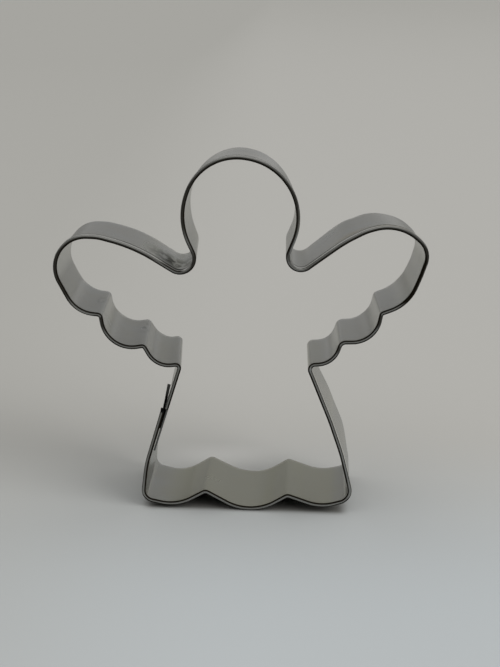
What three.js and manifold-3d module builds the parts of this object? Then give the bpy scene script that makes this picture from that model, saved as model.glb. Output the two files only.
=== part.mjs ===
// Angel cookie cutter, in millimetres. One strip of stainless steel is folded over along its front
// edge, bent round to the outline of an angel and closed by a spot-welded lap on the skirt's left.
// It stands on the skirt: X runs to the right, Y from the folded hem to the cutting edge, Z up.
// The origin is on the floor, under the middle of the bounding box.
import * as THREE from 'three';
import { mergeVertices } from 'three/addons/utils/BufferGeometryUtils.js';
import Module from 'manifold-3d';

// Strip
const stripDepth = 25; // from the fold to the cutting edge
const sheet = 0.4; // thickness of the steel
const hemGap = 0.05; // slit left inside the fold
const hemWidth = 2.8; // width of the flange that is folded back
const rim = 2 * sheet + hemGap; // thickness of the folded edge
const foldFacets = 5; // flats round the fold, the middle one square to the depth

// Lap
const notchLength = 10.1; // the inner end has no hem over this length, so that it goes under the rim
const notchEase = 0.01; // the plain sheet of that end is slimmer by this at each face
const weldDepths = { front: 7, middle: 13.5, rear: 20 }; // distance of each spot weld from the fold
const weldRadius = 1.3;
const weldDish = 0.06; // how far the middle of a weld lies below the sheets
const weldClearance = 0.05;
const weldSides = 24;

// Bending
const chordError = 0.025; // how far a facet may leave its arc
const shortestFacet = 0.1; // two bends that run into each other share a place
const longestFacet = 1.6;

// A bend is an arc round a pin. Its radius is that of the strip's inner face, positive where the pin
// stands inside the outline and negative where it stands outside. The cutting edge isn't square
// behind the hem: sway is how far it has moved, across and up, at the middle of the bend.
const bend = (x, z, radius, swayX, swayZ) => ({
  pin: new THREE.Vector2(x, z),
  radius,
  sway: new THREE.Vector2(swayX, swayZ),
});

// The free ends of the strip are bends of no radius. The strip runs anticlockwise seen from the hem.
const bends = [
  bend(-15.81, 22.58, 0, -0.4, -1.3), // outer end of the lap
  bend(4.95, 5.6, 24.5, 0.45, -1), // left flank of the skirt
  bend(-17.8, 4, 2, 0.65, -0.9), // left corner
  bend(-14.5, 11, 9.5, 0.55, -1.1), // left scallop of the skirt
  bend(-6.4, 3, -1.5, 0.55, -0.9), // cusp
  bend(3.4, 11.4, 10.5, 0.65, -0.5), // middle scallop
  bend(12, 2.6, -1.5, 0.5, -0.45), // cusp
  bend(19.5, 11.8, 9.6, 0.8, -0.55), // right scallop
  bend(22.9, 5.3, 2.4, 0.8, -0.7), // right corner
  bend(-15.19, 1.6, 40.12, 1.4, -0.7), // right flank, in two bends
  bend(-16.8, 6.3, 40.01, 1.05, -0.8),

  bend(16.94, 33.16, -1.57, 0.3, -1.3), // right armpit
  bend(17.21, 39.19, 4.41, 0.45, -1.4), // first feather of the right wing
  bend(23.42, 38.13, -1.82, 0.45, -1.35), // cusp
  bend(24.58, 45.59, 5.58, 0.1, -1.15), // second feather
  bend(31.49, 45.61, -1.22, 0.2, -1.3), // cusp
  bend(29.25, 55.48, 8.77, 0.05, -1.25), // third feather
  bend(19.3, 61.3, 20.14, 0.3, -1.3), // side of the wing
  bend(35.3, 58.83, 4.13, 0.05, -1.55), // tip
  bend(31.44, 55.39, 9.25, -0.05, -1.45), // top of the wing, easing into the root
  bend(31.77, 52.01, 12.58, -0.15, -0.8),
  bend(39.39, 35.21, 30.97, 0.05, -0.2), // root
  bend(12.98, 58.07, -3.25, 0.15, -0.7), // right of the neck

  bend(-0.76, 65.97, 12.39, 0.2, -0.9), // right of the head
  bend(-0.8, 66.1, 12.47, -0.45, -1.2), // upper right of the head
  bend(-1, 67.77, 10.85, 0.3, -1.1), // top of the head
  bend(1.39, 66.48, 13.51, -0.1, -0.9), // left of the head

  bend(-12.97, 57.02, -3.55, -0.85, -0.95), // left of the neck
  bend(-35.99, 26.79, 34.16, -0.35, -1), // root of the left wing
  bend(-31.99, 50.29, 10.38, -0.05, -1.15), // top
  bend(-32.99, 54.33, 6.34, -0.15, -1.05), // tip
  bend(-19.18, 59.12, 20.74, -0.65, -1), // side of the wing
  bend(-31.02, 50.96, 6.41, -0.5, -0.95), // third feather
  bend(-30.62, 43.29, -1.2, -0.7, -1), // cusp
  bend(-23.2, 43.51, 6.14, -0.75, -0.55), // second feather
  bend(-20.88, 36.53, -1.15, -0.9, -0.65), // cusp
  bend(-15.1, 38.2, 4.67, -0.75, -0.5), // first feather
  bend(-13.45, 32.51, -1.19, -1.2, -0.5), // left armpit
  bend(-17.75, 13.35, 0, 0.3, -1), // inner end of the lap
];

// Heading of the straight that touches two neighbouring bends
function straightBetween(first, second) {
  const across = second.pin.clone().sub(first.pin);
  return across.angle() - Math.asin((second.radius - first.radius) / across.length());
}

// A point of the inner face at the hem, on a bend, and the way out of the outline there
function placeOn({ pin, radius }, heading) {
  const outward = new THREE.Vector2(Math.sin(heading), -Math.cos(heading));
  return { point: pin.clone().addScaledVector(outward, radius), outward };
}

// A place between two others
function between(first, second, share) {
  return {
    point: first.point.clone().lerp(second.point, share),
    outward: first.outward.clone().lerp(second.outward, share).normalize(),
    run: THREE.MathUtils.lerp(first.run, second.run, share),
  };
}

// Sway at a length along the strip, between the middles of the bends on either side
function swayAt(run, middles) {
  const after = Math.max(1, middles.findIndex((middle) => middle >= run));
  const share = THREE.MathUtils.smoothstep(run, middles[after - 1], middles[after]);
  return bends[after - 1].sway.clone().lerp(bends[after].sway, share);
}

// Follow the strip from bend to bend, with as many places round each as its radius and turn need
function followStrip() {
  const headings = bends.slice(1).map((second, i) => straightBetween(bends[i], second));
  const places = [];
  const middles = [];
  bends.forEach((thisBend, i) => {
    const from = headings[Math.max(i - 1, 0)];
    const change = (headings[i] ?? from) - from;
    const turn = Math.atan2(Math.sin(change), Math.cos(change));
    const facetTurn = 2 * Math.acos(1 - chordError / (Math.abs(thisBend.radius) + rim));
    const facets = Math.max(1, Math.ceil(Math.abs(turn) / facetTurn));
    for (let k = 0; k <= facets; k += 1) {
      const place = placeOn(thisBend, from + (turn * k) / facets);
      const before = places.at(-1) ?? place;
      const step = place.point.distanceTo(before.point);
      place.run = (before.run ?? 0) + step;
      if (k === 0) middles.push(place.run + Math.abs(turn * thisBend.radius) / 2);
      const pieces = Math.ceil(step / longestFacet);
      for (let m = 1; m < pieces; m += 1) places.push(between(before, place, m / pieces));
      if (before === place || step > shortestFacet) places.push(place);
    }
  });
  return { places, middles };
}

// Cross-section of the hemmed strip: depth behind the fold, height out of the inner face
function hemSection() {
  const foldRadius = rim / 2;
  const section = [
    new THREE.Vector2(stripDepth, 0),
    new THREE.Vector2(stripDepth, sheet),
    new THREE.Vector2(foldRadius, sheet),
    new THREE.Vector2(foldRadius, sheet + hemGap),
    new THREE.Vector2(hemWidth, sheet + hemGap),
    new THREE.Vector2(hemWidth, rim),
  ];
  const flatApex = 1 / Math.cos(Math.PI / foldFacets / 2);
  for (let k = 0; k <= foldFacets; k += 1) {
    const angle = (Math.PI * k) / foldFacets;
    const depth = foldRadius * (1 - flatApex * Math.sin(angle));
    section.push(new THREE.Vector2(depth, foldRadius * (1 + Math.cos(angle))));
  }
  return section;
}

// Cross-section of the inner end, where the hem is notched away
function plainSection() {
  return [
    new THREE.Vector2(stripDepth - notchEase, notchEase),
    new THREE.Vector2(stripDepth - notchEase, sheet - notchEase),
    new THREE.Vector2(rim / 2, sheet - notchEase),
    new THREE.Vector2(rim / 2, notchEase),
  ];
}

// Where a point of the cross-section lies at one place along the strip
function onStrip({ point, outward, sway }, depth, height) {
  const placed = point.clone();
  placed.addScaledVector(sway, depth / stripDepth);
  placed.addScaledVector(outward, height);
  return new THREE.Vector3(placed.x, depth, placed.y);
}

// Skin a cross-section along the strip and close both ends. The walls are parted by the same
// diagonals inside and outside, which keeps a twisted wall as thick as a flat one.
function skin(stations, section) {
  const ring = section.length;
  const points = stations.flatMap((place) => section.map((at) => onStrip(place, at.x, at.y)));
  const index = [];
  for (let i = 0; i + 1 < stations.length; i += 1) {
    for (let j = 0; j < ring; j += 1) {
      const here = i * ring + j;
      const beside = i * ring + ((j + 1) % ring);
      const deeper = section[(j + 1) % ring].x > section[j].x;
      if (deeper) index.push(beside, here, here + ring, beside, here + ring, beside + ring);
      else index.push(beside, here, beside + ring, here, here + ring, beside + ring);
    }
  }
  const lastRing = (stations.length - 1) * ring;
  for (const [a, b, c] of THREE.ShapeUtils.triangulateShape(section, [])) {
    index.push(a, b, c, lastRing + a, lastRing + c, lastRing + b);
  }
  const geometry = new THREE.BufferGeometry().setFromPoints(points);
  geometry.setIndex(index);
  return geometry;
}

const wasm = await Module();
wasm.setup();

// A closed body to join or cut
function solid(geometry) {
  const bare = geometry.clone();
  bare.deleteAttribute('normal');
  bare.deleteAttribute('uv');
  const welded = mergeVertices(bare, 1e-4);
  return new wasm.Manifold(
    new wasm.Mesh({
      numProp: 3,
      vertProperties: new Float32Array(welded.attributes.position.array),
      triVerts: new Uint32Array(welded.index.array),
    }),
  );
}

// The surface of a joined or cut body
function surface(body) {
  const { vertProperties, triVerts } = body.getMesh();
  const geometry = new THREE.BufferGeometry();
  geometry.setAttribute('position', new THREE.BufferAttribute(vertProperties, 3));
  geometry.setIndex(new THREE.BufferAttribute(triVerts, 1));
  return geometry;
}

const steel = () => new THREE.MeshStandardMaterial({
  color: 0x9b9b98,
  metalness: 1,
  roughness: 0.3,
});

// A spot weld stands on Y, from the inner face of the lap to its outer face, dished at both
function spotWeld(thickness) {
  const profile = [
    new THREE.Vector2(0, weldDish),
    new THREE.Vector2(weldRadius * 0.6, weldDish),
    new THREE.Vector2(weldRadius, 0),
    new THREE.Vector2(weldRadius, thickness),
    new THREE.Vector2(weldRadius * 0.6, thickness - weldDish),
    new THREE.Vector2(0, thickness - weldDish),
  ];
  return new THREE.LatheGeometry(profile, weldSides);
}

// Turn a shape that stands on Y to face out of the strip, and move it to its place
function face(geometry, outward, place) {
  const way = new THREE.Vector3(outward.x, 0, outward.y);
  const turn = new THREE.Quaternion().setFromUnitVectors(new THREE.Vector3(0, 1, 0), way);
  return geometry.applyQuaternion(turn).translate(place.x, place.y, place.z);
}

const { places, middles } = followStrip();
const wholeRun = places.at(-1).run;

// The place at a length along the strip
function stripAt(run) {
  const after = Math.max(1, places.findIndex((place) => place.run >= run));
  const [first, second] = places.slice(after - 1, after + 1);
  const place = between(first, second, (run - first.run) / (second.run - first.run));
  return { ...place, sway: swayAt(run, middles) };
}

// The hem stops short of the inner end, which comes out of it as a plain sheet
const stations = places.map((place) => stripAt(place.run));
const notch = stripAt(wholeRun - notchLength);
const hemmedRun = [...stations.filter((place) => place.run < notch.run), notch];
const plainRun = [
  stripAt(notch.run - sheet),
  ...stations.filter((place) => place.run > notch.run),
];
let strip = solid(skin(hemmedRun, hemSection())).add(solid(skin(plainRun, plainSection())));

// Spot welds go through both sheets halfway along the lap
const lapMiddle = stations[0].point.distanceTo(stations.at(-1).point) / 2;
const innerSheet = stripAt(wholeRun - lapMiddle);
const outerSheet = stripAt(lapMiddle);
const cutter = new THREE.Group();
cutter.name = 'cookie_cutter';
for (const [name, depth] of Object.entries(weldDepths)) {
  const place = onStrip(innerSheet, depth, 0);
  const thickness = place.distanceTo(onStrip(outerSheet, depth, sheet));
  const drill = new THREE.CylinderGeometry(
    weldRadius + weldClearance,
    weldRadius + weldClearance,
    4 * thickness,
    weldSides,
  );
  strip = strip.subtract(solid(face(drill, innerSheet.outward, place)));
  const weld = surface(solid(face(spotWeld(thickness), innerSheet.outward, place)));
  const mesh = new THREE.Mesh(weld, steel());
  mesh.name = `spot_weld_${name}`;
  cutter.add(mesh);
}

const stripMesh = new THREE.Mesh(surface(strip), steel());
stripMesh.name = 'cutter_strip';
cutter.add(stripMesh);

// Stand it on the floor, in the middle
const box = new THREE.Box3().setFromObject(cutter);
const middle = box.getCenter(new THREE.Vector3());
cutter.position.set(-middle.x, -middle.y, -box.min.z);

export default cutter;
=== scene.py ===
import bpy
import numpy as np
from mathutils import Matrix, Vector


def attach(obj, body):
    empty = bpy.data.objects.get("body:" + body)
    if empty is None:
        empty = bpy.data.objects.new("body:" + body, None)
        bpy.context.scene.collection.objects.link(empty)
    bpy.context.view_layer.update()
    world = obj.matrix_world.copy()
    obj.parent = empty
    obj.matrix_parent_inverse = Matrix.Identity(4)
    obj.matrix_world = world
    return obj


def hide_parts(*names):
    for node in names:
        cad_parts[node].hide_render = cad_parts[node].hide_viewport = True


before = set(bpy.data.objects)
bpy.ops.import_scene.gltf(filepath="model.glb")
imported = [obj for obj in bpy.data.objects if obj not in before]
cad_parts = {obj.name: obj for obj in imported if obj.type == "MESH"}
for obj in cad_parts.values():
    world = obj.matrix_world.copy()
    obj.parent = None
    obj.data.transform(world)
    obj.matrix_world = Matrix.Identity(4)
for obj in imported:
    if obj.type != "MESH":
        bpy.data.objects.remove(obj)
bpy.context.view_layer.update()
mm = 0.001
sharpAngle = 35  # degrees between faces, above which their edge isn't smoothed


# a shader socket with arithmetic: a + b, 1 - a and so on add Math nodes, add() makes any other node
class Shade:
    def __init__(self, tree, socket):
        self.tree, self.socket = tree, socket

    # what varies is linked to the node's sockets, what doesn't is set on them
    def fill(self, node, inputs):
        for name, value in inputs.items():
            if isinstance(value, Shade):
                self.tree.links.new(value.socket, node.inputs[name])
            else:
                node.inputs[name].default_value = value

    def add(self, kind, settings=None, inputs=None, out=0):
        node = self.tree.nodes.new(kind)
        for name, value in (settings or {}).items():
            setattr(node, name, value)
        self.fill(node, inputs or {})
        return Shade(self.tree, node.outputs[out])

    def math(self, operation, *values):
        return self.add("ShaderNodeMath", {"operation": operation}, dict(enumerate(values)))

    def __add__(self, other):
        return self.math("ADD", self, other)

    def __radd__(self, other):
        return self.math("ADD", other, self)

    def __sub__(self, other):
        return self.math("SUBTRACT", self, other)

    def __rsub__(self, other):
        return self.math("SUBTRACT", other, self)

    def __mul__(self, other):
        return self.math("MULTIPLY", self, other)

    def __rmul__(self, other):
        return self.math("MULTIPLY", other, self)

    def __truediv__(self, other):
        return self.math("DIVIDE", self, other)

    def __rtruediv__(self, other):
        return self.math("DIVIDE", other, self)

    def __abs__(self):
        return self.math("ABSOLUTE", self)

    # 0 below low, 1 above high, smooth between; low above high turns it round
    def step(self, low, high):
        return self.add("ShaderNodeMapRange", {"interpolation_type": "SMOOTHSTEP"},
                        {"Value": self, "From Min": low, "From Max": high})

    # 1 at middle, falling smoothly to 0 at reach on both sides
    def near(self, middle, reach):
        return abs(self - middle).step(reach, 0)

    # from this value to another by a share
    def towards(self, other, share):
        return self + (other - self) * share

    # the first colour where this is 0, the second where it is 1
    def mix(self, first, second):
        first, second = (colour if isinstance(colour, Shade) else (*colour, 1) for colour in (first, second))
        return self.add("ShaderNodeMix", {"data_type": "RGBA"}, {"Factor": self, 6: first, 7: second}, out=2)


def newMaterial(name):
    material = bpy.data.materials.new(name)
    material.use_nodes = True
    tree = material.node_tree
    skin = next(node for node in tree.nodes if node.type == "BSDF_PRINCIPLED")
    return material, skin, Shade(tree, skin.outputs[0])


# camera where the photo was taken from: place in mm, its right, up and forward directions, and its lens
view = dict(
    place=(5.907, -320.964, 123.028),
    right=(0.99946, 0.01830, 0.02738),
    up=(-0.03117, 0.25656, 0.96603),
    forward=(-0.01066, 0.96636, -0.25699),
    lens=79.61, sensor=36, nearest=0.01,
)


def setCamera():
    data = bpy.data.cameras.new("photoCamera")
    data.lens, data.sensor_width, data.clip_start = view["lens"], view["sensor"], view["nearest"]
    camera = bpy.data.objects.new("photoCamera", data)
    bpy.context.scene.collection.objects.link(camera)
    turn = Matrix([view["right"], view["up"], [-part for part in view["forward"]]]).transposed()
    camera.matrix_world = Matrix.Translation(Vector(view["place"]) * mm) @ turn.to_4x4()
    bpy.context.scene.camera = camera


setCamera()
print("camera set")

# the strip in mm: depth from fold to cutting edge, sheet, hem, the notched inner end, the flare and the
# burr of the outer end, rounding of edges, spacing of sections, points round a section and place
strip = dict(
    depth=25.0, sheet=0.4, hemGap=0.03, hemWidth=2.8, foldDepth=0.4,
    notch=10.1, notchSlant=0.25, flare=0.15, flareReach=5.0, burr=0.4, burrReach=0.8, burrInside=0.65,
    soft=0.09, plainRound=0.06, spacing=0.25, wallPoints=16, foldPoints=17, flangePoints=6, cornerPoints=3,
    shift=(-0.0288, -12.5, -0.0002),
)

# bends: pin across and up, radius of the inner face (below 0 where the pin stands outside),
# and the sway of the cutting edge, across and up
bends = np.array([
    (-15.81, 22.58, 0, -0.4, -1.3),  # outer end of the lap
    (4.95, 5.6, 24.5, 0.45, -1),  # left flank of the skirt
    (-17.8, 4, 2, 0.65, -0.9),  # left corner
    (-14.5, 11, 9.5, 0.55, -1.1),  # skirt scallops and cusps
    (-6.4, 3, -1.5, 0.55, -0.9),
    (3.4, 11.4, 10.5, 0.65, -0.5),
    (12, 2.6, -1.5, 0.5, -0.45),
    (19.5, 11.8, 9.6, 0.8, -0.55),
    (22.9, 5.3, 2.4, 0.8, -0.7),  # right corner
    (-15.19, 1.6, 40.12, 1.4, -0.7),  # right flank
    (-16.8, 6.3, 40.01, 1.05, -0.8),
    (16.94, 33.16, -1.57, 0.3, -1.3),  # right armpit
    (17.21, 39.19, 4.41, 0.45, -1.4),  # right wing
    (23.42, 38.13, -1.82, 0.45, -1.35),
    (24.58, 45.59, 5.58, 0.1, -1.15),
    (31.49, 45.61, -1.22, 0.2, -1.3),
    (29.25, 55.48, 8.77, 0.05, -1.25),
    (19.3, 61.3, 20.14, 0.3, -1.3),
    (35.3, 58.83, 4.13, 0.05, -1.55),
    (31.44, 55.39, 9.25, -0.05, -1.45),
    (31.77, 52.01, 12.58, -0.15, -0.8),
    (39.39, 35.21, 30.97, 0.05, -0.2),
    (12.98, 58.07, -3.25, 0.15, -0.7),  # right of the neck
    (-0.76, 65.97, 12.39, 0.2, -0.9),  # head
    (-0.8, 66.1, 12.47, -0.45, -1.2),
    (-1, 67.77, 10.85, 0.3, -1.1),
    (1.39, 66.48, 13.51, -0.1, -0.9),
    (-12.97, 57.02, -3.55, -0.85, -0.95),  # left of the neck
    (-35.99, 26.79, 34.16, -0.35, -1),  # left wing
    (-31.99, 50.29, 10.38, -0.05, -1.15),
    (-32.99, 54.33, 6.34, -0.15, -1.05),
    (-19.18, 59.12, 20.74, -0.65, -1),
    (-31.02, 50.96, 6.41, -0.5, -0.95),
    (-30.62, 43.29, -1.2, -0.7, -1),
    (-23.2, 43.51, 6.14, -0.75, -0.55),
    (-20.88, 36.53, -1.15, -0.9, -0.65),
    (-15.1, 38.2, 4.67, -0.75, -0.5),
    (-13.45, 32.51, -1.19, -1.2, -0.5),  # left armpit
    (-17.75, 13.35, 0, 0.3, -1),  # inner end of the lap
])

# the bends that the marks on the steel are measured from, by their place in the list
bendOf = dict(
    leftCorner=2, firstScallop=3, lastScallop=7, rightCorner=8, rightArmpit=11, rightInner=12, rightLow=16,
    rightTip=18, rightTop=19, rightBack=20, rightNeck=22, leftNeck=27, leftSide=31, leftLow=32, leftCusp=33,
    leftNextCusp=35, leftInner=36, leftArmpit=37,
)


# lay of the strip: the straight that touches two arcs heads along the line of their pins, less the
# angle whose sine is the difference of radii over the distance; each arc turns from one to the next
def layStrip():
    pin, radius = bends[:, :2], bends[:, 2]
    gap = np.diff(pin, axis=0)
    far = np.hypot(gap[:, 0], gap[:, 1])
    rise = np.diff(radius)
    heading = np.arctan2(gap[:, 1], gap[:, 0]) - np.arcsin(rise / far)
    enter = np.r_[heading[0], heading]
    turn = np.r_[heading, heading[-1]] - enter
    turn = np.arctan2(np.sin(turn), np.cos(turn))
    arc = np.abs(turn * radius)
    start = np.r_[0, np.cumsum(arc[:-1] + np.sqrt(far ** 2 - rise ** 2))]
    return dict(enter=enter, turn=turn, arc=arc, start=start, middle=start + arc / 2, whole=start[-1])


lay = layStrip()


# point of the inner face at the fold, way out and sway at any length along the strip: round the bend's
# pin for the length of its arc, then straight on; the sway eases from one bend's middle to the next
def placeAt(run):
    bend = np.clip(np.searchsorted(lay["start"], run, side="right") - 1, 0, len(bends) - 1)
    past = run - lay["start"][bend]
    turned = np.minimum(past, lay["arc"][bend])
    share = turned / np.maximum(lay["arc"][bend], 1e-9)
    heading = lay["enter"][bend] + lay["turn"][bend] * share
    along = np.stack([np.cos(heading), np.sin(heading)], -1)
    out = np.stack([np.sin(heading), -np.cos(heading)], -1)
    point = bends[bend, :2] + bends[bend, 2:3] * out + (past - turned)[:, None] * along
    following = np.clip(np.searchsorted(lay["middle"], run, side="right"), 1, len(bends) - 1)
    before, after = bends[following - 1, 3:], bends[following, 3:]
    ease = np.clip((run - lay["middle"][following - 1]) / np.diff(lay["middle"])[following - 1], 0, 1)
    sway = before + (after - before) * (ease * ease * (3 - 2 * ease))[:, None]
    return point, out, sway


# places round a section, counted from the cutting edge up the inner wall
def ringPlaces():
    flange = strip["wallPoints"] + strip["foldPoints"]
    mouth = flange + strip["flangePoints"] + strip["cornerPoints"]
    return dict(
        wallEnd=strip["wallPoints"] - 1, foldTip=strip["wallPoints"] + strip["foldPoints"] // 2,
        flange=flange, slitMouth=mouth, slitEnd=mouth + 1, outerWall=mouth + 2,
        outerEnd=mouth + 1 + strip["wallPoints"],
        count=mouth + 2 + strip["wallPoints"] + 2 * strip["cornerPoints"],
    )


ring = ringPlaces()


# cross-section as depth behind the fold and height out of the inner face, first hemmed, then plain:
# up the inner wall, half round the fold, out along the flange, back in the slit, down the outer wall;
# in the plain one the whole hem shrinks to the rounded edge of one sheet
def sections():
    sheet, deep, soft, width = strip["sheet"], strip["foldDepth"], strip["soft"], strip["hemWidth"]
    rim, slit, rear = 2 * sheet + strip["hemGap"], sheet + strip["hemGap"], strip["depth"] - soft
    corner = np.linspace(0, np.pi / 2, strip["cornerPoints"] + 1)
    first, second = corner[1:], corner[:-1]
    wall = np.linspace(rear, deep, strip["wallPoints"])
    fold = np.linspace(0, np.pi, strip["foldPoints"] + 2)[1:-1]
    flange = np.linspace(deep, width - soft, strip["flangePoints"])
    hemmed = np.concatenate([np.stack(np.broadcast_arrays(depth, height), -1) for depth, height in [
        (wall, 0.0),
        (deep - deep * np.sin(fold), rim / 2 - rim / 2 * np.cos(fold)),
        (flange, rim),
        (width - soft + soft * np.sin(first), rim - soft + soft * np.cos(first)),
        ([width, deep, deep], [slit, slit, sheet]),
        (wall[::-1][1:], sheet),
        (rear + soft * np.sin(first), sheet - soft + soft * np.cos(first)),
        (rear + soft * np.cos(second), soft - soft * np.sin(second)),
    ]])
    plain = hemmed.copy()
    hem = slice(ring["wallEnd"], ring["outerWall"] + 1)
    edge = np.linspace(0, 1, hem.stop - hem.start)
    plain[hem] = np.stack([deep - strip["plainRound"] * np.sin(np.pi * edge), sheet * edge], -1)
    return hemmed, plain


# the outer end springs out by the flare times the square of its nearness to the end, and by the share
# of the depth, so most at the cutting edge
def springOut(run, share):
    return strip["flare"] * np.clip(1 - run / strip["flareReach"], 0, 1) ** 2 * share


def putMesh(name, points, faces, material, numbers=None):
    mesh = bpy.data.meshes.new(name)
    mesh.from_pydata((points * mm).tolist(), [], [face for group in faces for face in group])
    for label, values in (numbers or {}).items():
        mesh.attributes.new(label, "FLOAT", "POINT").data.foreach_set("value", values.astype(np.float32))
    mesh.polygons.foreach_set("use_smooth", np.ones(len(mesh.polygons), bool))
    mesh.set_sharp_from_angle(angle=np.radians(sharpAngle))
    mesh.materials.append(material)
    mesh.validate()
    piece = bpy.data.objects.new(name, mesh)
    bpy.context.scene.collection.objects.link(piece)
    return piece


# quads of a closed ring carried along a path, and the faces that fill its two ends
def ringFaces(rings, points, filling):
    here = np.arange(rings - 1)[:, None] * points + np.arange(points)
    beside = np.arange(rings - 1)[:, None] * points + (np.arange(points) + 1) % points
    faces = [np.stack([here, beside, beside + points, here + points], -1).reshape(-1, 4).tolist()]
    for group in filling:
        faces += [group[:, ::-1].tolist(), (group + (rings - 1) * points).tolist()]
    return faces


# filling of the strip's end, by places round the section: quads between the walls, a fan from the tip
# of the fold, a fan from the end of the slit over the flange, and the rounded cutting edge
def stripFilling():
    tip, slit, end = ring["foldTip"], ring["slitEnd"], ring["outerEnd"]
    wall = np.arange(ring["wallEnd"])
    fold = np.r_[tip + 1:ring["flange"] + 1, slit, ring["outerWall"], ring["wallEnd"]:tip]
    flange = np.arange(ring["flange"], ring["slitMouth"])
    return [
        np.stack([wall, wall + 1, end - 1 - wall, end - wall], -1),
        np.stack([tip + 0 * fold[1:], fold[:-1], fold[1:]], -1),
        np.stack([slit + 0 * flange, flange, flange + 1], -1),
        np.r_[end:ring["count"], 0][None],
    ]


# strip surface: place(run) + height * way out + sway * depth / strip depth, with depth along Y; the
# sheared edge of the outer end is thicker towards its rear corner
def makeStrip(material):
    notch = lay["whole"] - strip["notch"]
    even = np.linspace(0, lay["whole"], int(lay["whole"] / strip["spacing"]))
    run = np.sort(np.r_[even, notch, notch + strip["notchSlant"]])
    point, out, sway = placeAt(run)
    hemmed, plain = sections()
    cut = np.clip((run - notch) / strip["notchSlant"], 0, 1)[:, None, None]
    section = hemmed + (plain - hemmed) * cut
    depth, height = section[..., 0], section[..., 1]
    share = depth / strip["depth"]
    swollen = np.clip(1 - run / strip["burrReach"], 0, 1)[:, None] * share
    burr = strip["burr"] * swollen * (height / strip["sheet"] - strip["burrInside"])
    height = height + springOut(run[:, None], share) + burr
    flat = point[:, None] + out[:, None] * height[..., None] + sway[:, None] * share[..., None]
    points = np.stack([flat[..., 0], depth, flat[..., 1]], -1) + strip["shift"]
    place = np.arange(ring["count"])
    foldTurn = np.clip((place - ring["wallEnd"]) / (ring["flange"] - ring["wallEnd"]), 0, 1)
    numbers = dict(
        alongStrip=np.repeat(run, ring["count"]),
        acrossStrip=depth.ravel(),
        outerSide=np.tile((place > ring["flange"]).astype(float), len(run)),
        foldTurn=(foldTurn * (1 - cut[:, 0])).ravel(),
        wayUp=np.repeat(out[:, 1], ring["count"]),
    )
    faces = ringFaces(len(run), ring["count"], stripFilling())
    return putMesh("cutterStrip", points.reshape(-1, 3), faces, material, numbers)


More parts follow.
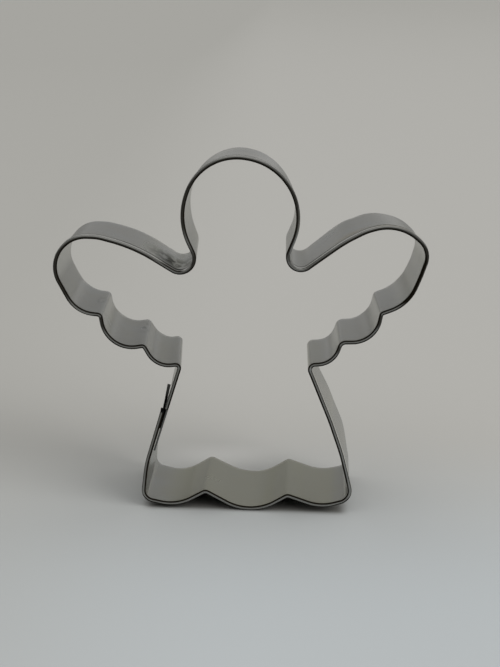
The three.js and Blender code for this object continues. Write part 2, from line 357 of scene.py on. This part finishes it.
# steel of the strip, measures in mm
# a stretch begins between its first two places and ends between its last two, each place a bend and the
# way past its middle; a spot is a bend, the way past it and reach along, then middle and reach in depth
steel = dict(
    grey=(0.48, 0.48, 0.45), cool=(0.495, 0.505, 0.49), warm=(0.53, 0.53, 0.42), flange=(0.85, 0.85, 0.82),
    foldMiddle=(0.30, 0.30, 0.285), foldTop=(0.05, 0.047, 0.04), foldEdge=(0.009, 0.0075, 0.005),
    seamShade=(0.06, 0.06, 0.055), neckDark=(0.03, 0.03, 0.028), slotShade=(0.05, 0.05, 0.05),
    cutEnd=(0.008, 0.008, 0.008), shear=(0.08, 0.08, 0.075), stain=(0.44, 0.38, 0.24),
    grazing=(0.88, 0.88, 0.88),
    rough=dict(plain=0.25, mottle=0.08, fine=0.04, shadeAndDirt=0.4, fold=0.08),
    relief=dict(bendLines=0.003, mottle=0.012),
    clouds=dict(  # pitch along and in depth, detail, offset
        bendLines=(1.1, 60.0, 2.0, 0.0), mottle=(9.0, 7.0, 1.0, 8.7), patches=(7.0, 80.0, 2.0, 4.3),
        fine=(0.5, 0.5, 2.0, 1.9), streaks=(1.7, 4.2, 4.0, 5.5), scratches=(0.7, 2.2, 2.0, 3.1),
    ),
    sidesApart=7.0,  # between the clouds of the two faces
    edges=dict(  # of each cloud, and of the faces that look up and down
        bendLines=(0.55, 0.75), mottle=(0.3, 0.7), patches=(0.45, 0.7), streaks=(0.38, 0.54),
        scratches=(0.5, 0.62), tops=(0.35, 0.75), under=(-0.25, -0.7),
    ),
    stretches=dict(
        skirtHem=(("leftCorner", 0), ("firstScallop", 2), ("lastScallop", 0), ("rightCorner", 0)),
        rightFlank=(("rightCorner", 1), ("rightCorner", 5), ("rightArmpit", -3), ("rightArmpit", 1)),
        wings=(("rightArmpit", 0), ("rightInner", 0), ("leftInner", 0), ("leftArmpit", 0)),
        topRun=(("rightLow", -2.5), ("rightLow", 0.5), ("leftSide", 0), ("leftLow", 0)),
        wingSide=(("rightLow", -1.5), ("rightLow", 1.0), ("rightTip", -3), ("rightTip", 0)),
        headRight=(("rightNeck", 3), ("rightNeck", 5), ("rightNeck", 12), ("rightNeck", 16)),
        besideNeck=(("leftNeck", 0.5), ("leftNeck", 2.5), ("leftNeck", 6), ("leftNeck", 11)),
        leftLow=(("leftSide", 1), ("leftSide", 4), ("leftCusp", -3), ("leftCusp", -1)),
    ),
    spots=dict(
        neckRight=("rightNeck", -0.5, 5.5), neckLeft=("leftNeck", 5.5, 6), headLeft=("leftNeck", -7, 4),
        neckDark=("leftNeck", 5.0, 9.0, 10.0, 10.0), stainTop=("rightTop", 0, 10),
        stainBack=("rightBack", 3.5, 6, 5.5, 4), scuff=("leftCusp", -0.8, 2.2, 14, 7),
        nextScuff=("leftNextCusp", -0.8, 2, 16, 7),
    ),
    strength=dict(
        patches=0.25, skirtHem=0.65, bendLines=0.06, stain=0.5, scuff=0.5, neckDark=0.9, streaks=0.7,
        seamMottle=0.3, seamShadeShare=0.6, headLeft=0.6, flankDark=0.25, lowLight=0.75, lowUnder=0.5, tongue=0.85,
    ),
    flangeEnd=(0.05, -0.15), seamStart=(-0.35, 0.05), seamEnd=(1.1, 0.1),  # from the hem's edge
    seamWider=1.1, seamTops=(0.0, 0.9),  # on the tops
    lapInner=(-13, -11.5), lapOuter=(8.4, 7.6), lapDepth=(0.6, 1.2),
    flankStart=(22, 14), flankEnd=2, notchEdge=0.3, neckFlange=(2.9, 2.5),
    innerDepth=(0.9, 0.4), outerDepth=(0.6, 0.42), tongueDepth=(0.9, 0.45),
    cutRun=(0.6, 0.2), cutDepth=(12, 22), foldEnds=0.08,
    foldLines=dict(  # painted dark reflection lines on the fold, by share of its half turn, and what moves them
        inner=dict(span=(0.44, 0.30), tops=-0.08, leftFlank=-0.1, rightFlank=-0.13, wingSide=-0.25),
        outer=dict(span=(0.66, 0.80), under=0.2, besideNeck=0.1, skirtHem=-0.13, headRight=-0.15),
        top=dict(span=(0.78, 0.64), tops=0.12, headRight=0.13),
    ),
)


# steel by length along the strip, depth behind the fold, side, turn of the fold and way that a face looks
def steelMaterial():
    material, skin, shade = newMaterial("rolledSteel")
    along, across, outer, fold, wayUp = (
        shade.add("ShaderNodeAttribute", {"attribute_name": name}, out="Fac")
        for name in ("alongStrip", "acrossStrip", "outerSide", "foldTurn", "wayUp"))
    inner = 1 - outer
    edges, strength, rough, relief = (steel[name] for name in ("edges", "strength", "rough", "relief"))
    whole = lay["whole"]

    # length along the strip to a place past a bend's middle
    def runAt(bend, past):
        return float(lay["middle"][bendOf[bend]]) + past

    def stretch(name):
        begin, full, fade, end = (runAt(*place) for place in steel["stretches"][name])
        return along.step(begin, full) * along.step(end, fade)

    def spot(name):
        bend, past, reach, *depth = steel["spots"][name]
        patch = along.near(runAt(bend, past), reach)
        return patch * across.near(*depth) if depth else patch

    # noise with its own pitch along and across the strip
    def cloud(name):
        pitchAlong, pitchAcross, detail, offset = steel["clouds"][name]
        place = shade.add("ShaderNodeCombineXYZ", None, {
            "X": along / pitchAlong + offset, "Y": across / pitchAcross, "Z": outer * steel["sidesApart"]})
        return shade.add("ShaderNodeTexNoise", None, {"Vector": place, "Scale": 1.0, "Detail": detail})

    # a dark line of the fold, moved by each mask's share
    def foldLine(name):
        line = dict(steel["foldLines"][name])
        span, place = line.pop("span"), fold
        for mask, share in line.items():
            place = place + share * masks[mask]
        return place.step(*span)

    bendLines, mottle, patches, fine = (cloud(name) for name in ("bendLines", "mottle", "patches", "fine"))
    tops, under = wayUp.step(*edges["tops"]), wayUp.step(*edges["under"])
    masks = {name: stretch(name) for name in steel["stretches"]}
    flankEnd = steel["flankEnd"]
    leftFlank = along.step(*steel["flankStart"])
    leftFlank = leftFlank + along.step(runAt("leftArmpit", -flankEnd), runAt("leftArmpit", flankEnd))
    lowUnder = under * (1 - strength["lowUnder"] * masks["leftLow"])
    masks.update(tops=tops, under=lowUnder, leftFlank=leftFlank)

    # warmer where the skirt's hem was formed, cooler and warmer patches elsewhere
    colour = mottle.step(*edges["mottle"]).mix(steel["grey"], steel["cool"])
    warmth = patches.step(*edges["patches"]) * strength["patches"] + masks["skirtHem"] * strength["skirtHem"]
    colour = warmth.mix(colour, steel["warm"])
    lines = bendLines.step(*edges["bendLines"]) * strength["bendLines"]
    colour = lines.mix(colour, steel["foldMiddle"])

    # the flange is painted bright as a painted highlight, with a painted shade line along its edge, more of
    # it on the tops
    pastHem = across - strip["hemWidth"]
    flange = outer * pastHem.step(*steel["flangeEnd"])
    wider = steel["seamWider"] * wayUp.step(*steel["seamTops"])
    # painted shade line along the flange's edge
    seamShade = outer * (pastHem + wider).step(*steel["seamStart"]) * pastHem.step(*steel["seamEnd"])
    seamShade = seamShade * (1 - strength["seamMottle"] + strength["seamMottle"] * mottle)
    colour = flange.mix(colour, steel["flange"])

    # brown tinge on the right wing, scuffs at two cusps of the left wing
    stain = spot("stainTop") * flange + spot("stainBack") * outer
    colour = (stain * strength["stain"]).mix(colour, steel["stain"])
    scratches = cloud("scratches").step(*edges["scratches"])
    scuff = (spot("scuff") + spot("nextScuff")) * inner * scratches
    # the scuffs take the same dark colour as the painted seam shade
    colour = (scuff * strength["scuff"]).mix(colour, steel["seamShade"])
    colour = seamShade.mix(colour, steel["seamShade"])

    # darker patch left of the neck, on the wall and on the flange, and painted shade in the slot between the
    # sheets of the lap
    streaks = 1 - strength["streaks"] + strength["streaks"] * cloud("streaks").step(*edges["streaks"])
    neckDark = spot("neckDark") * outer * streaks
    neckDark = neckDark + masks["besideNeck"] * across.step(*steel["neckFlange"]) * outer
    colour = (neckDark * strength["neckDark"]).mix(colour, steel["neckDark"])
    # painted shade in the slot between the sheets of the lap
    lapSlotShade = outer * along.step(*(whole + past for past in steel["lapInner"]))
    lapSlotShade = lapSlotShade + inner * along.step(*steel["lapOuter"]) * across.step(*steel["lapDepth"])
    colour = lapSlotShade.mix(colour, steel["slotShade"])

    # the fold is painted a darker grey at the front and has painted dark reflection lines where it leaves
    # the wall and the flange;
    # round the head and the wings a painted dark reflection covers its front too, but not in the notches of
    # the neck
    foldEnds = steel["foldEnds"]
    onFold = fold.step(0, foldEnds) * fold.step(1, 1 - foldEnds)
    hemmed = along.step(whole - strip["notch"] + steel["notchEdge"], whole - strip["notch"])
    innerTurn = foldLine("inner") * across.step(*steel["innerDepth"]) * inner * hemmed
    outerTurn = foldLine("outer") * across.step(*steel["outerDepth"])
    outerTurn = outerTurn * (1 - tops * (1 - masks["besideNeck"]))
    awayFromNeck = 1 - (spot("neckRight") + spot("neckLeft") + spot("headLeft") * strength["headLeft"])
    upright = masks["wings"] * awayFromNeck * (1 - tops - under)
    darkRun = shade.math("MAXIMUM", masks["topRun"] * awayFromNeck, upright)
    darkRun = darkRun * (1 - strength["lowLight"] * masks["leftLow"]) + leftFlank * strength["flankDark"]
    colour = onFold.mix(colour, steel["foldMiddle"])
    colour = (onFold * darkRun * foldLine("top")).mix(colour, steel["foldTop"])
    colour = (innerTurn + outerTurn).mix(colour, steel["foldEdge"])

    # sheared ends, darkened partly for their rough cut face and partly as painted shade: the outer one dark
    # at the front and grey at the rear, the inner one grey at its edge
    cutEnd = along.step(*steel["cutRun"])
    tongue = (1 - hemmed) * across.step(*steel["tongueDepth"])
    sheared = across.step(*steel["cutDepth"]) * cutEnd + tongue * strength["tongue"]
    colour = sheared.mix(colour, steel["shear"])
    colour = (across.step(*reversed(steel["cutDepth"])) * cutEnd).mix(colour, steel["cutEnd"])

    # where the painted dark reflections, painted shade, cut ends and the dark patch by the neck lie, the
    # steel is less metallic and rougher
    shadeAndDirt = innerTurn + outerTurn + cutEnd + neckDark + seamShade * strength["seamShadeShare"] + lapSlotShade
    shadeAndDirt = shade.math("MINIMUM", shadeAndDirt, 1.0)
    gloss = rough["plain"] + (mottle - 0.5) * rough["mottle"] + (fine - 0.5) * rough["fine"]
    height = bendLines * relief["bendLines"] + mottle * relief["mottle"]
    shade.fill(skin, {
        "Base Color": colour,
        "Roughness": gloss + shadeAndDirt * rough["shadeAndDirt"] - onFold * rough["fold"],
        "Metallic": 1 - shadeAndDirt,
        "Specular IOR Level": 0,
        "Specular Tint": (*steel["grazing"], 1),
        "Normal": shade.add("ShaderNodeBump", None, {"Strength": 1.0, "Distance": mm, "Height": height}),
    })
    return material


cutter = makeStrip(steelMaterial())
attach(cutter, "root")
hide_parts("cutter_strip")
print("strip made,", len(cutter.data.polygons), "faces, run in mm", round(float(lay["whole"]), 2))

# spot welds in mm: depths behind the fold, a shallow crater on each face of the lap, and their finish
weld = dict(
    depths=dict(front=7.0, middle=13.5, rear=20.0), radius=1.3, lip=0.035, dish=0.015, lipFrom=0.55,
    rimFrom=0.96, sunk=0.1, rings=13, sides=48,
    dark=(0.30, 0.28, 0.25), bright=(0.46, 0.45, 0.43), tone=(0.3, 0.7), grain=900.0, detail=4.0,
    rough=0.42, roughMore=0.2, relief=0.03, reliefStrength=0.4,
)


# weld surface: rings of a crater's profile on the inner face of the lap, from the middle out, then on
# the outer face, from the rim in; the lip swells by the square of a sine and its rim sinks into the
# sheet; each point is placed by the face it lies on
def makeWeld(name, depth, material):
    ends = bends[[0, -1], :2]
    half = np.hypot(*(ends[1] - ends[0])) / 2
    share = np.linspace(0, 1, weld["rings"] + 1)
    swell = np.clip((share - weld["lipFrom"]) / (1 - weld["lipFrom"]), 0, 1)
    crater = weld["dish"] + (weld["lip"] - weld["dish"]) * np.sin(np.pi / 2 * swell) ** 2
    crater = np.where(share > weld["rimFrom"], -weld["sunk"], crater)
    radius = np.r_[share[1:], share[:0:-1]][:, None] * weld["radius"]
    height = np.r_[-crater[1:], strip["sheet"] + crater[:0:-1]][:, None]
    middle = np.repeat([lay["whole"] - half, half], weld["rings"])[:, None]
    angle = -np.linspace(0, 2 * np.pi, weld["sides"], endpoint=False)
    run = middle + radius * np.cos(angle)
    deep = (depth + radius * np.sin(angle)).ravel()
    point, out, sway = placeAt(run.ravel())
    height = (height + springOut(run, depth / strip["depth"])).reshape(-1, 1)
    flat = point + out * height + sway * (deep / strip["depth"])[:, None]
    points = np.stack([flat[:, 0], deep, flat[:, 1]], -1) + strip["shift"]
    faces = ringFaces(len(radius), weld["sides"], [np.arange(weld["sides"])[None]])
    return putMesh(name, points, faces, material)


def weldMaterial():
    material, skin, shade = newMaterial("weldSteel")
    place = shade.add("ShaderNodeTexCoord", out="Object")
    burn = shade.add("ShaderNodeTexNoise", None, {
        "Vector": place, "Scale": weld["grain"], "Detail": weld["detail"]})
    shade.fill(skin, {
        "Base Color": burn.step(*weld["tone"]).mix(weld["dark"], weld["bright"]),
        "Roughness": weld["rough"] + burn * weld["roughMore"],
        "Metallic": 1,
        "Normal": shade.add("ShaderNodeBump", None, {
            "Strength": weld["reliefStrength"], "Distance": weld["relief"] * mm, "Height": burn}),
    })
    return material


spotSteel = weldMaterial()
for place, depth in weld["depths"].items():
    spot = makeWeld("spotWeld" + place.capitalize(), depth, spotSteel)
    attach(spot, "root")
    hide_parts("spot_weld_" + place)
print("welds made")

# floor in m: half its size and parts to a side, colours, and where each colour begins and is full, or
# for the glow its middle and reach
table = dict(
    half=4.0, parts=8, rough=0.9, shine=0.1,
    near=(0.452, 0.482, 0.500), far=(0.424, 0.420, 0.404), farAndLeftShadow=(0.37, 0.367, 0.350),
    speckle=3.0, speckleDetail=2.0, speckleReach=0.02, nearAway=(0.06, -0.05), nearReach=(1.2, 0.4),
    distantAway=(0.3, 3.2), distantStrength=0.9, leftAside=(0.01, -0.10), leftStrength=0.8,
    mirrored=(0.25, 0.25, 0.24), mirroredAside=(0.06, 0.24),
    contactShadow=(0.07, 0.062, 0.048), shelterMiddle=0.0025, shelterAside=(0.0235, 0.0205),
    shelterAway=(0.0140, 0.0105), shelterStrength=0.7,
    glow=(0.62, 0.62, 0.605), glowAside=(-0.0045, 0.017), glowAway=(0.0215, 0.0135), glowStrength=0.6,
)


# floor: a flat grid of two parameters, bluer near the viewer and duller far off, with a painted shadow to
# the left, a painted contact shadow right under the skirt and a painted patch of light behind it, where the
# steel throws light; its sides mirror darker
def makeFloor():
    material, skin, shade = newMaterial("paleFloor")
    place = shade.add("ShaderNodeTexCoord", out="Object")
    aside, away = (shade.add("ShaderNodeSeparateXYZ", None, {0: place}, out=part) for part in ("X", "Y"))
    speckle = shade.add("ShaderNodeTexNoise", None, {
        "Vector": place, "Scale": table["speckle"], "Detail": table["speckleDetail"]})
    reach = shade.add("ShaderNodeVectorMath", {"operation": "LENGTH"}, {0: place}, out="Value")
    nearby = (away + speckle * table["speckleReach"]).step(*table["nearAway"])
    nearby = nearby * reach.step(*table["nearReach"])
    farAndLeftShadow = away.step(*table["distantAway"]) * table["distantStrength"]
    # painted shadow to the left of the cutter
    farAndLeftShadow = farAndLeftShadow + aside.step(*table["leftAside"]) * table["leftStrength"]
    mirrored = shade.add("ShaderNodeLightPath", out="Is Glossy Ray")
    mirrored = mirrored * abs(aside).step(*table["mirroredAside"])
    # painted contact shadow under the skirt
    contactShadow = abs(aside - table["shelterMiddle"]).step(*table["shelterAside"])
    contactShadow = contactShadow * abs(away).step(*table["shelterAway"])
    glow = aside.near(*table["glowAside"]) * away.near(*table["glowAway"])
    colour = nearby.mix(table["far"], table["near"])
    colour = farAndLeftShadow.mix(colour, table["farAndLeftShadow"])
    colour = mirrored.mix(colour, table["mirrored"])
    colour = (contactShadow * table["shelterStrength"]).mix(colour, table["contactShadow"])
    colour = (glow * table["glowStrength"]).mix(colour, table["glow"])
    shade.fill(skin, {
        "Base Color": colour, "Roughness": table["rough"], "Specular IOR Level": table["shine"]})
    parts = table["parts"]
    line = np.linspace(-1, 1, parts + 1) * table["half"] / mm
    points = np.stack([*np.meshgrid(line, line), np.zeros((parts + 1, parts + 1))], -1).reshape(-1, 3)
    first = (np.arange(parts)[:, None] * (parts + 1) + np.arange(parts)).reshape(-1, 1)
    quads = first + np.array([0, 1, parts + 2, parts + 1])
    floor = putMesh("floor", points, [quads.tolist()], material)


# one broad soft lamp from the right and front, kept out of the steel's reflections
lamp = dict(way=(-1.5, 0.95, -1.0), strength=1.33, angle=45, colour=(1, 0.985, 0.96))


def makeLamp():
    data = bpy.data.lights.new("softLamp", "SUN")
    data.energy, data.angle, data.color = lamp["strength"], np.radians(lamp["angle"]), lamp["colour"]
    light = bpy.data.objects.new("softLamp", data)
    bpy.context.scene.collection.objects.link(light)
    light.rotation_euler = Vector(lamp["way"]).to_track_quat("-Z", "Y").to_euler()
    light.visible_glossy = False


# room: its strength as light, overhead and lower in front and at the horizon, as the steel mirrors it,
# and as background; zones by direction, where each begins and is full
room = dict(
    colour=(1, 0.995, 0.975), plain=1.16, front=1.08, low=0.04, seen=0.43,
    back=0.66, backSide=0.33, backHigh=0.305, leftDim=0.2, ahead=0.30, top=0.8,
    zones=dict(front=(0.3, -0.6), low=(0.25, 0.75), side=(0.12, 0.24), high=(0.02, 0.10), left=(0.02, -0.35),
               ahead=(0.55, 0.1), top=(0.75, 0.95)),
)


# room: even light from above; the steel mirrors it pale behind, bright above and grey in front
def makeRoom():
    world = bpy.data.worlds.new("room")
    bpy.context.scene.world = world
    world.use_nodes = True
    background, zones = world.node_tree.nodes["Background"], room["zones"]
    shade = Shade(world.node_tree, background.outputs[0])
    way = shade.add("ShaderNodeTexCoord", out="Generated")
    aside, away, up = (
        shade.add("ShaderNodeSeparateXYZ", None, {0: way}, out=part) for part in ("X", "Y", "Z"))
    mirrored = room["back"] + (room["backSide"] - room["back"]) * abs(aside).step(*zones["side"])
    mirrored = mirrored.towards(room["backHigh"], up.step(*zones["high"]))
    mirrored = mirrored * (1 - room["leftDim"] * aside.step(*zones["left"]))
    mirrored = mirrored.towards(room["ahead"], away.step(*zones["ahead"]))
    mirrored = mirrored.towards(room["top"], up.step(*zones["top"]))
    level = room["plain"] + (room["front"] - room["plain"]) * away.step(*zones["front"])
    level = level * (room["low"] + (1 - room["low"]) * up.step(*zones["low"]))
    level = level.towards(mirrored, shade.add("ShaderNodeLightPath", out="Is Glossy Ray"))
    level = level.towards(room["seen"], shade.add("ShaderNodeLightPath", out="Is Camera Ray"))
    shade.fill(background, {"Strength": level, "Color": (*room["colour"], 1)})


makeFloor()
makeLamp()
makeRoom()
bpy.context.scene.view_settings.view_transform = "Standard"
print("floor, lamp and room made")
